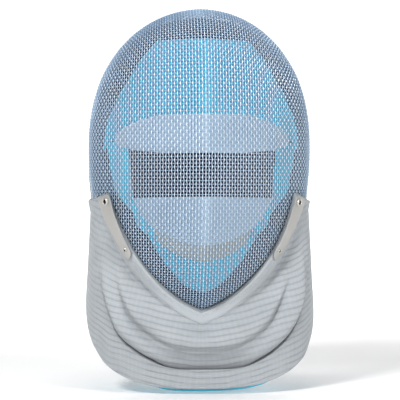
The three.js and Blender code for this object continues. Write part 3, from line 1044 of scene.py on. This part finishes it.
def bibShares(turns, rows):
    fine = np.linspace(0, 1, 500)
    _, length = hangingPoint(turns, np.zeros(len(turns)), 0.0)
    first = smoothTable(creaseTurns, creaseHeights, turns)[:, None]
    second = smoothTable(softTurns, softHeights, turns)[:, None]
    crease, soft, _ = foldStrengths(turns)
    fromHem = (1 - fine)[None, :] * length[:, None]
    density = 1 + 5 * crease[:, None] * hump(fromHem - first - 0.5, 4.5)
    density += 1.2 * soft[:, None] * hump(fromHem - second, 9) + 3 * hump(fromHem, 2.5)
    reached = np.cumsum((density[:, 1:] + density[:, :-1]) / 2, axis=1)
    reached = np.concatenate([np.zeros((len(turns), 1)), reached], axis=1)
    reached /= reached[:, -1:]
    wanted = np.linspace(0, 1, rows + 1)
    return np.array([np.interp(wanted, line, fine) for line in reached])


def bibSurface(turn, share, depth, down):
    # down: place in the free-hanging part, used where it is 0 or more
    collar = collarPoint(turn, np.clip(share / bib["collarShare"], 0, 1), depth)
    hanging, length = hangingPoint(turn, np.maximum(down, 0), depth)
    fromHem = (1 - np.maximum(down, 0)) * length
    out, drop = foldMove(turn, fromHem, depth > 0)
    fade = eased(np.maximum(down, 0) / 0.12)
    along, _ = hangingPoint(turn, np.maximum(down, 0) + 0.01, depth)
    along = unit(along - hanging)
    edge = np.clip(1 - fromHem / 1.4, 0, 1)
    rounding = 1.4 * (1 - np.sqrt(np.maximum(1 - edge * edge, 0))) * (-0.9 if depth > 0 else 1)
    moved = hanging + outOfBib(turn) * (out * fade - rounding)[..., None] + along * (drop * fade)[..., None]
    return np.where((down >= 0)[..., None], moved, collar)


def buildBib():
    columns, rows, collarRows = bib["columns"], bib["rows"], bib["collarRows"]
    turns = np.linspace(-1, 1, columns + 1)
    table = bibShares(turns, rows - collarRows)

    def sheetAt(depth):
        def place(u, v):
            i = np.rint(u * columns).astype(int)
            j = np.rint((1 - v) * rows).astype(int)
            down = np.where(j >= collarRows, table[i, np.maximum(j - collarRows, 0)], -1.0)
            share = bib["collarShare"] * np.minimum(j / collarRows, 1)
            return bibSurface(turns[i], share, depth, down)

        return place

    piece = shapedSheet("bibCloth", columns, rows, sheetAt(0.0))
    addRibPlaces(piece, columns, rows)
    addCreaseShade(piece, turns, table)
    inner = shapedSheet("bibInner", columns, rows, sheetAt(bib["cloth"]), outside=False)
    joinFaces(piece, inner)
    finishPiece(piece, ribbedCloth(), ["bib_shell"])
    # cut 0.45 m long on average and 0.11 m high, a tenth less where the V edge slants
    print("bib", len(piece.data.polygons), "faces")


def addRibPlaces(piece, columns, rows):
    points = pointsOf(piece).reshape(rows + 1, columns + 1, 3) * 1000
    level = points[..., 2] - points[..., 2].min()
    mid = rows // 2
    around = np.concatenate([[0], np.cumsum(np.linalg.norm(np.diff(points[mid], axis=0), axis=-1))])
    around = around - around[columns // 2]
    swing = np.sqrt(around**2 + 900) - 30
    height = level - 0.24 * swing[None, :]
    across = np.broadcast_to(around[None, :], height.shape).ravel()
    addLayer(piece, "ribs", across * 0.01, height.ravel() * 0.01)


def addCreaseShade(piece, turns, table):
    # Painted shade along the creases for each point of the cloth, 0 to 1: a dark line at each main crease,
    # a broader soft band round it and a faint band at the soft fold
    _, length = hangingPoint(turns, np.zeros(len(turns)), 0.0)
    fromHem = (1 - table) * length[:, None]
    first = smoothTable(creaseTurns, creaseHeights, turns)[:, None]
    second = smoothTable(softTurns, softHeights, turns)[:, None]
    crease, soft, middle = [strength[:, None] for strength in foldStrengths(turns)]
    line = crease * mixed(0.7, 1.0, middle) * hump(fromHem - first - 0.4, mixed(2.0, 2.9, middle))
    under = crease * mixed(0.2, 0.24, middle) * hump(fromHem - first - mixed(0, 4, middle), 9.0)
    valley = soft * 0.2 * hump(fromHem - second - 1, 5.5)
    shade = np.zeros((bib["rows"] + 1, len(turns)))
    shade[bib["collarRows"] :] = np.clip(line + under + valley, 0, 1).T
    shade = shade[::-1].ravel()
    addLayer(piece, "creases", shade, 0 * shade)


def ribbedCloth():
    paint = Paint("ribbedSilverCloth", Metallic=0.1, Sheen_Weight=0.12, Sheen_Roughness=0.4)
    across, up, _ = paint.split(paint.sheetPlace("ribs"))
    place = paint.place()
    drift = paint.noise(place, 16.0, 3.0)
    wobble = paint.noise(place, 60.0, 3.0)
    level = up * 100.0 + drift * 5.0 + wobble * 2.4
    # Painted shade in the creases, read from the creases layer
    deep, _, _ = paint.split(paint.sheetPlace("creases"))
    saw = paint.maths("ABSOLUTE", paint.maths("FRACT", level * (1 / 5.4)) - 0.5)
    patchy = paint.band(paint.noise(place, 38.0, 2.0), 0.28, 0.55)
    rib = (1.0 - paint.band(saw, 0.02, 0.2)) * (0.3 + patchy * 0.7)
    # Painted highlight: lighter bands between the rib lines
    ridge = paint.band(saw, 0.2, 0.5)
    fine = paint.wave(level + wobble * 0.8, 1.35) * paint.band(paint.noise(place, 90.0, 2.0), 0.3, 0.7)
    plaid = paint.band(paint.wave(across * 100.0 + wobble * 0.8, 5.2), 0.55, 1.0)
    threads = paint.wave(across * 100.0, 0.9) * paint.wave(up * 100.0, 0.9)
    cloud = paint.noise(place, 30.0, 4.0, 0.6)
    tone = cloud * 0.55 + threads * 0.1 + plaid * 0.08 + fine * 0.2 + ridge * 0.12
    base = paint.blend(tone, (0.31, 0.34, 0.365), (0.51, 0.535, 0.555))
    ribbed = paint.blend(rib * 0.38, base, (0.2, 0.215, 0.24))
    # Painted shade: the colour goes towards near black where the crease shade is strongest
    paint.colour(paint.blend(deep * 0.9, ribbed, (0.07, 0.075, 0.085)))
    paint.rough(0.52 + cloud * 0.2)
    paint.bump(threads * 0.15 - rib * 0.6 + cloud * 0.5 + plaid * 0.1 + fine * 0.3, 0.0007, 0.7)
    return paint.material


buildBib()
print("bib ready")


# Stitched tape that folds over the V edge of the bib
tape = {
    "width": 12.0,
    "thickness": 0.8,
    "lie": 0.45,  # how far its middle layer stands off the bib
    "stitchLength": 2.6,
    "stitchGap": 1.0,
    "thread": 0.24,
    "rowsAt": (0.14, 0.24, 0.7),  # stitch rows, as shares of the collar's width
}


def outwardOf(turn, share):
    step = 0.004
    along = collarPoint(turn + step, share, 0.0) - collarPoint(turn - step, share, 0.0)
    down = collarPoint(turn, share + 0.05, 0.0) - collarPoint(turn, share - 0.05, 0.0)
    return unit(np.cross(down, along))


def tapeCloth():
    paint = Paint("edgeTapeCloth", Metallic=0.1, Sheen_Weight=0.15, Roughness=0.6)
    across, up, _ = paint.split(paint.sheetPlace("UVMap"))
    place = paint.place()
    cloud = paint.noise(place, 35.0, 4.0, 0.6)
    threads = paint.wave(across * 460.0, 1.0) * paint.wave(up * 14.0, 1.0)
    paint.colour(paint.blend(cloud * 0.7 + threads * 0.3, (0.37, 0.4, 0.425), (0.51, 0.54, 0.56)))
    paint.bump(threads * 0.4 + cloud * 0.9, 0.0005, 0.6)
    return paint.material


def buildTape():
    reach = bib["edgeTurn"] - 0.012

    def place(u, v):
        turn = mixed(-reach, reach, u)
        top = collarPoint(turn, 0.0, 0.0)
        out = outwardOf(turn, 0.02)
        into = unit(collarPoint(turn, 0.08, 0.0) - top)
        radius = bib["cloth"] / 2 + 0.35
        middle = top - out * (bib["cloth"] / 2) + into * 0.9
        swing = math.pi * (0.02 + 0.98 * np.clip(v / 0.3, 0, 1)) - math.pi / 2
        rolled = middle + radius * (out * np.sin(swing)[..., None] - into * np.cos(swing)[..., None])
        share = mixed(0.06, tape["width"] / bib["collar"], np.clip((v - 0.3) / 0.7, 0, 1))
        lie = tape["lie"] * (1 - 0.8 * eased((v - 0.8) / 0.2))
        puff = 0.12 * hump(share - 0.19, 0.03) + 0.15 * hump(share - 0.45, 0.16)
        flat = collarPoint(turn, share, 0.0) + outwardOf(turn, share) * (lie + puff)[..., None]
        return np.where((v <= 0.3)[..., None], rolled, flat)

    piece = shapedSheet("edgeTape", 260, 26, place)
    applyModifier(piece, "SOLIDIFY", thickness=tape["thickness"] * 0.0005, offset=0)
    smoothShade(piece)
    finishPiece(piece, tapeCloth(), ["bib_edge_band"])


def stitchRow(turns, share, lift):
    points = collarPoint(turns, share, 0.0) + outwardOf(turns, share) * lift
    steps = np.linalg.norm(np.diff(points, axis=0), axis=1)
    reached = np.concatenate([[0], np.cumsum(steps)])
    pace = tape["stitchLength"] + tape["stitchGap"]
    starts = np.arange(1.0, reached[-1] - tape["stitchLength"], pace)
    out = outwardOf(turns, share)
    lines = []
    for start in starts:
        places = start + np.array([0.0, 0.25, 0.75, 1.0]) * tape["stitchLength"]
        sink = np.array([-0.35, 0.12, 0.12, -0.35])
        line = [
            np.array([np.interp(at, reached, points[:, axis]) for axis in range(3)])
            + unit(np.array([np.interp(at, reached, out[:, axis]) for axis in range(3)])) * low
            for at, low in zip(places, sink)
        ]
        lines.append(np.array(line))
    return lines


def threadMaterial():
    paint = Paint("sewingThread", Roughness=0.6, Sheen_Weight=0.2)
    place = paint.place()
    paint.colour(paint.blend(paint.noise(place, 300.0, 2.0), (0.36, 0.39, 0.42), (0.56, 0.59, 0.62)))
    return paint.material


def buildStitches():
    reach = bib["edgeTurn"] - 0.02
    turns = np.linspace(-reach, reach, 400)
    lift = tape["lie"] + tape["thickness"] * 0.25 + 0.15
    lines = []
    for share in tape["rowsAt"]:
        lines += stitchRow(turns, share, lift)
    piece = drawnPiece("bibStitches", lines, tape["thread"])
    finishPiece(piece, threadMaterial(), ())


buildTape()
buildStitches()


# Blue layer inside the bib, which shows under the hem at the chin
innerLayer = {
    "reach": 0.94,  # how far round the bib it runs
    "top": 0.5,  # where it starts, as a share of the bib's height
    "topInset": 8.0,
    "show": 4.2,
    "hidden": 2.0,  # how far above the hem it ends elsewhere
    "thickness": 1.4,
}


def buildInnerLayer():
    def place(u, v):
        turn = mixed(-innerLayer["reach"], innerLayer["reach"], u)
        share = mixed(innerLayer["top"], 1.0, v)
        inset = bib["cloth"] + 2 * bib["seatGap"] + innerLayer["topInset"] * eased((1 - v) / 0.25)
        show = innerLayer["show"] * (1 - eased((np.abs(turn - 0.06) - 0.16) / 0.14))
        lowered = (show - innerLayer["hidden"]) * eased((v - 0.8) / 0.2)
        t = (share - bib["collarShare"]) / (1 - bib["collarShare"])
        point, _ = hangingPoint(turn, t, inset)
        ripple = 0.5 * np.sin(turn * 34) * eased(v * 2)
        return point - outOfBib(turn) * ripple[..., None] - stacked(0.0, 0.0, lowered)

    piece = shapedSheet("blueInnerLayer", 150, 30, place)
    applyModifier(piece, "SOLIDIFY", thickness=innerLayer["thickness"] * 0.001, offset=-1)
    smoothShade(piece)
    finishPiece(piece, skyCloth, ["bib_lining"])


buildInnerLayer()


# Clamp plates and their fasteners
plates = {
    "length": 60.0,
    "topWidth": 15.0,
    "endWidth": 9.0,
    "thickness": 1.2,
    "overhang": 5.0,
    "leftForward": 2.0,
    "corner": 3.6,
}


def platePoint(side, down, across, lift):
    width = mixed(plates["topWidth"], plates["endWidth"], down)
    angle = math.radians(bib["edgeTopAngle"] + 0.5) + down * plates["length"] / (1.1 * bowl["halfWidth"])
    y = bib["edgeY"] - plates["overhang"] - (plates["leftForward"] if side < 0 else 0) + across * width
    return onBowl(side * angle, y, 2 * bib["seatGap"] + bib["cloth"] + lift)


def plateOut(side, down, across):
    first = platePoint(side, down, across + 0.1, 0.0) - platePoint(side, down, across - 0.1, 0.0)
    second = platePoint(side, down + 0.03, across, 0.0) - platePoint(side, down - 0.03, across, 0.0)
    out = unit(np.cross(first, second))
    away = platePoint(side, down, across, 3.0) - platePoint(side, down, across, 0.0)
    return out * np.sign((out * away).sum(-1))[..., None]


def buildPlates():
    seat = 2 * bib["seatGap"] + tape["thickness"]
    for side, name in ((-1, "left"), (1, "right")):
        def place(u, v, side=side):
            far = np.minimum(v, 1 - v) * plates["length"]
            corner = plates["corner"]
            cut = corner - np.sqrt(np.maximum(corner**2 - np.maximum(corner - far, 0) ** 2, 0))
            width = mixed(plates["topWidth"], plates["endWidth"], v)
            across = 0.5 + (u - 0.5) * (1 - 2 * np.minimum(cut, 0.42 * width) / width)
            dish = 0.35 * (2 * across - 1) ** 2 * np.where(v > 0.15, 1.0, v / 0.15)
            lift = seat + plates["thickness"] - dish + 0.15 * np.sin(v * 9 + side)
            return platePoint(side, v, across, lift)

        piece = shapedSheet("clampPlate_" + name, 20, 84, place)
        applyModifier(piece, "SOLIDIFY", thickness=plates["thickness"] * 0.001, offset=-1)
        edge = {"limit_method": "ANGLE", "angle_limit": math.radians(50)}
        applyModifier(piece, "BEVEL", width=0.00035, segments=2, **edge)
        pickOut(piece)
        bpy.ops.object.shade_smooth_by_angle(angle=math.radians(40))
        finishPiece(piece, plateMetal, ["side_plate_" + name])
        fastener("eyelet_" + name, "eyelet_upper_" + name, side, 0.1, 0.36, 3.6, 2.0, 1.5)
        fastener("rivet_" + name, "rivet_lower_" + name, side, 0.88, 0.42, 2.3, 1.1, 1.0)


def fastener(name, node, side, down, across, radius, hole, height):
    seat = 2 * bib["seatGap"] + tape["thickness"] + plates["thickness"] + 0.1
    down, across = np.array([down]), np.array([across])
    centre = platePoint(side, down, across, seat)[0]
    out = plateOut(side, down, across)[0]
    first = unit(np.cross(out, np.array([0.0, 0.0, 1.0])))
    second = np.cross(out, first)
    # Rolled collar with a sunken middle: distance from the axis, height
    profile = [(0, -0.3), (0.92, -0.3), (1.0, 0.1), (0.97, 0.55), (0.86, 0.88), (0.7, 1.0)]
    profile = [(r * radius, h * height) for r, h in profile]
    profile += [(hole * 1.3, 0.92 * height), (hole * 1.03, 0.7 * height), (hole, 0.3 * height)]
    profile += [(hole * 0.9, 0.05), (0, 0.0)]
    table = np.array(profile)
    steps = np.concatenate([[0], np.cumsum(np.linalg.norm(np.diff(table, axis=0), axis=1))])

    def place(u, v):
        at = v * steps[-1]
        reach, lift = np.interp(at, steps, table[:, 0]), np.interp(at, steps, table[:, 1])
        swing = 2 * math.pi * u
        around = np.cos(swing)[..., None] * first + np.sin(swing)[..., None] * second
        return centre + around * reach[..., None] + out * lift[..., None]

    piece = shapedSheet(name, 40, 36, place, ring=True, outside=False)
    editAll(piece, bpy.ops.mesh.normals_make_consistent, inside=False)
    bpy.ops.object.shade_smooth_by_angle(angle=math.radians(50))
    finishPiece(piece, eyeletMetal(centre, hole), [node])


def eyeletMetal(centre, hole):
    paint = Paint("eyeletMetal", Metallic=0.95)
    place = paint.place()
    middle = toMetres(centre)
    x, y, z = paint.split(place)
    squares = [paint.maths("POWER", part - float(at), 2.0) for part, at in zip((x, y, z), middle)]
    far = paint.maths("SQRT", squares[0] + squares[1] + squares[2]) * 1000.0
    # Painted shade: the sunken middle of the eyelet is coloured near black and made rougher
    dark = 1.0 - paint.band(far, hole * 0.95, hole * 1.2)
    grain = paint.noise(place, 700.0, 2.0)
    metal = paint.blend(grain, (0.5, 0.48, 0.45), (0.8, 0.79, 0.76))
    paint.colour(paint.blend(dark, metal, (0.03, 0.025, 0.02)))
    paint.rough(0.22 + grain * 0.15 + dark * 0.5)
    return paint.material


buildPlates()
print("plates ready")


# Sprung tongue behind the head and the elastic strap
back = {
    "tongueTop": 74.0,
    "tongueEnd": 104.0,
    "tongueDrop": 172.0,
    "tongueRound": 8.0,
    "tongueThickness": 8.0,
    "strapHeight": 60.0,
    "strapThickness": 2.0,
    "strapLevel": -16.0,
    "strapSag": 8.0,  # how far its lower edge hangs down in the middle
    "channels": 6,
}


def tonguePoint(u, v, depth):
    behind = padding["gap"] + band["width"]
    rimZ = float(onBowl(0.0, float(rimYAround(np.array([0.0]), behind)[0]), 0.0)[2])
    ends = np.sqrt(np.maximum(1 - np.maximum((v - 0.86) / 0.14, 0) ** 2 * 0.75, 0))
    half = 0.5 * mixed(back["tongueTop"], back["tongueEnd"], eased(v * 1.4)) * ends
    x = mixed(-half, half, u)
    z = rimZ - (1 - np.cos(v * math.pi / 2)) * back["tongueRound"]
    z = z - v * (back["tongueDrop"] - back["tongueRound"])
    grow = -back["strapThickness"] - padding["gap"] - depth * back["tongueThickness"]
    angle = np.arctan2(x, rimZ)
    start = onBowl(angle, rimYAround(angle, behind), grow)
    return mixed(start, onBack(x, z, grow), eased(v / 0.12)[..., None])


def buildTongue():
    def outer(u, v):
        return tonguePoint(u, v, 0.0)

    def inner(u, v):
        seam = hump((v * back["channels"]) % 1.0 - 0.5, 0.07)
        edge = np.minimum(np.minimum(u, 1 - u) / 0.08, np.minimum(v, 1 - v) / 0.05)
        depth = mixed(0.35, 1.0, np.sqrt(np.clip(edge, 0, 1))) * (1 - 0.35 * seam * np.clip(edge, 0, 1))
        return tonguePoint(u, v, depth)

    piece = shapedSheet("sprungTongue", 48, 96, outer)
    joinFaces(piece, shapedSheet("tongueInner", 48, 96, inner, outside=False))
    finishPiece(piece, navyCloth, ["back_tongue"])


def elasticWeb():
    paint = Paint("elasticWeb", Roughness=0.75, Sheen_Weight=0.2)
    x, y, z = paint.split(paint.place())
    rows = paint.wave(z, 0.0024)
    cords = paint.wave(paint.maths("ARCTAN2", x, y), 0.02)
    wear = paint.noise(paint.place(), 40.0, 3.0)
    tone = rows * 0.4 + cords * 0.2 + wear * 0.4
    paint.colour(paint.blend(tone, (0.008, 0.013, 0.03), (0.03, 0.045, 0.085)))
    paint.bump(rows * 0.7 + cords * 0.3, 0.0005, 0.8)
    return paint.material


def buildStrap():
    def place(u, v):
        sag = back["strapSag"] * v * (1 - eased((np.abs(2 * u - 1) - 0.55) / 0.25))
        z = back["strapLevel"] + mixed(0.5, -0.5, v) * back["strapHeight"] - sag
        half, _, reach, centreY = sectionAt(z, 0.0)
        rim = rimYAt(z) + 3 * band["gap"] + band["width"]
        start = np.arccos(np.clip((rim - centreY) / reach, 0, 1))
        swing = mixed(-start, start, u)
        lip = 0.5 * hump(np.minimum(v, 1 - v), 0.03)
        grow = 0.5 * back["strapThickness"] - 0.1 - lip
        return stacked((half + grow) * np.sin(swing), centreY + (reach + grow) * np.cos(swing), z)

    piece = shapedSheet("elasticStrap", 120, 36, place)
    applyModifier(piece, "SOLIDIFY", thickness=(back["strapThickness"] - 0.3) * 0.001, offset=-1)
    smoothShade(piece)
    finishPiece(piece, elasticWeb(), ["back_strap"])


buildTongue()
buildStrap()
print("back ready")


# Floor, backdrop and lights
def stageMaterial():
    paint = Paint("paperBackdrop", Roughness=0.9, Specular_IOR_Level=0.1, Emission_Strength=1.0)
    _, y, _ = paint.split(paint.place())
    paint.colour(paint.blend(paint.noise(paint.place(), 3.0, 2.0), (0.9, 0.9, 0.9), (0.93, 0.93, 0.93)))
    far = paint.band(y, 0.25, 1.6)
    paint.feed(paint.shader.inputs["Emission Color"], paint.blend(far, (0.06, 0.06, 0.06), (0.8, 0.8, 0.8)))
    return paint.material


# The backdrop in metres: flat floor, then a bend, then upright
backdrop = {
    "width": 18.0,
    "length": 8.5,
    "start": -4.0,
    "flatTo": 1.5,
    "bend": 1.2,
    "belowHem": 0.0035,  # the blue layer and the flared fold hang lower than the hem
}


def buildStage():
    hem = (chinZ - bib["drop"] - seatZ) * 0.001
    ground = hem - backdrop["belowHem"] - room["floorDrop"]

    def place(u, v):
        bend, flatTo = backdrop["bend"], backdrop["flatTo"]
        along = v * backdrop["length"] + backdrop["start"]
        run = np.maximum(along - flatTo, 0)
        swing = np.minimum(run / bend, math.pi / 2)
        y = np.where(run > 0, flatTo + bend * np.sin(swing), along)
        z = bend * (1 - np.cos(swing)) + np.maximum(run - bend * math.pi / 2, 0)
        return stacked((u - 0.5) * backdrop["width"], y, z + ground) * 1000 + (0, 0, seatZ)

    piece = shapedSheet("paperBackdrop", 2, 90, place, outside=False)
    smoothShade(piece)
    piece.data.materials.append(stageMaterial())


lights = {
    "key": {"place": (-0.9, -1.5, 1.0), "size": 0.5, "power": 32.0},
    "fill": {"place": (1.3, -1.4, 0.35), "size": 0.6, "power": 16.0},
    "top": {"place": (0.0, -0.1, 1.6), "size": 1.0, "power": 11.0},
    "rear": {"place": (0.3, 1.4, 0.8), "size": 1.2, "power": 6.0},
}


def buildLights():
    target = np.array([0.0, 0.0, room["aim"]])
    for name, values in lights.items():
        place = np.array(values["place"])
        away = unit(place - target)
        tilt = math.acos(away[2])
        turn = math.atan2(away[1], away[0]) + math.pi / 2
        bpy.ops.object.light_add(type="AREA", location=tuple(place), rotation=(tilt, 0, turn))
        light = bpy.context.object
        light.name = name + "Light"
        light.data.shape = "DISK"
        light.data.size = values["size"]
        light.data.energy = values["power"]
    world = bpy.context.scene.world or bpy.data.worlds.new("studio")
    bpy.context.scene.world = world
    world.use_nodes = True
    shade = world.node_tree.nodes["Background"]
    shade.inputs["Color"].default_value = (1, 1, 1, 1)
    shade.inputs["Strength"].default_value = room["skyStrength"]


buildStage()
buildLights()
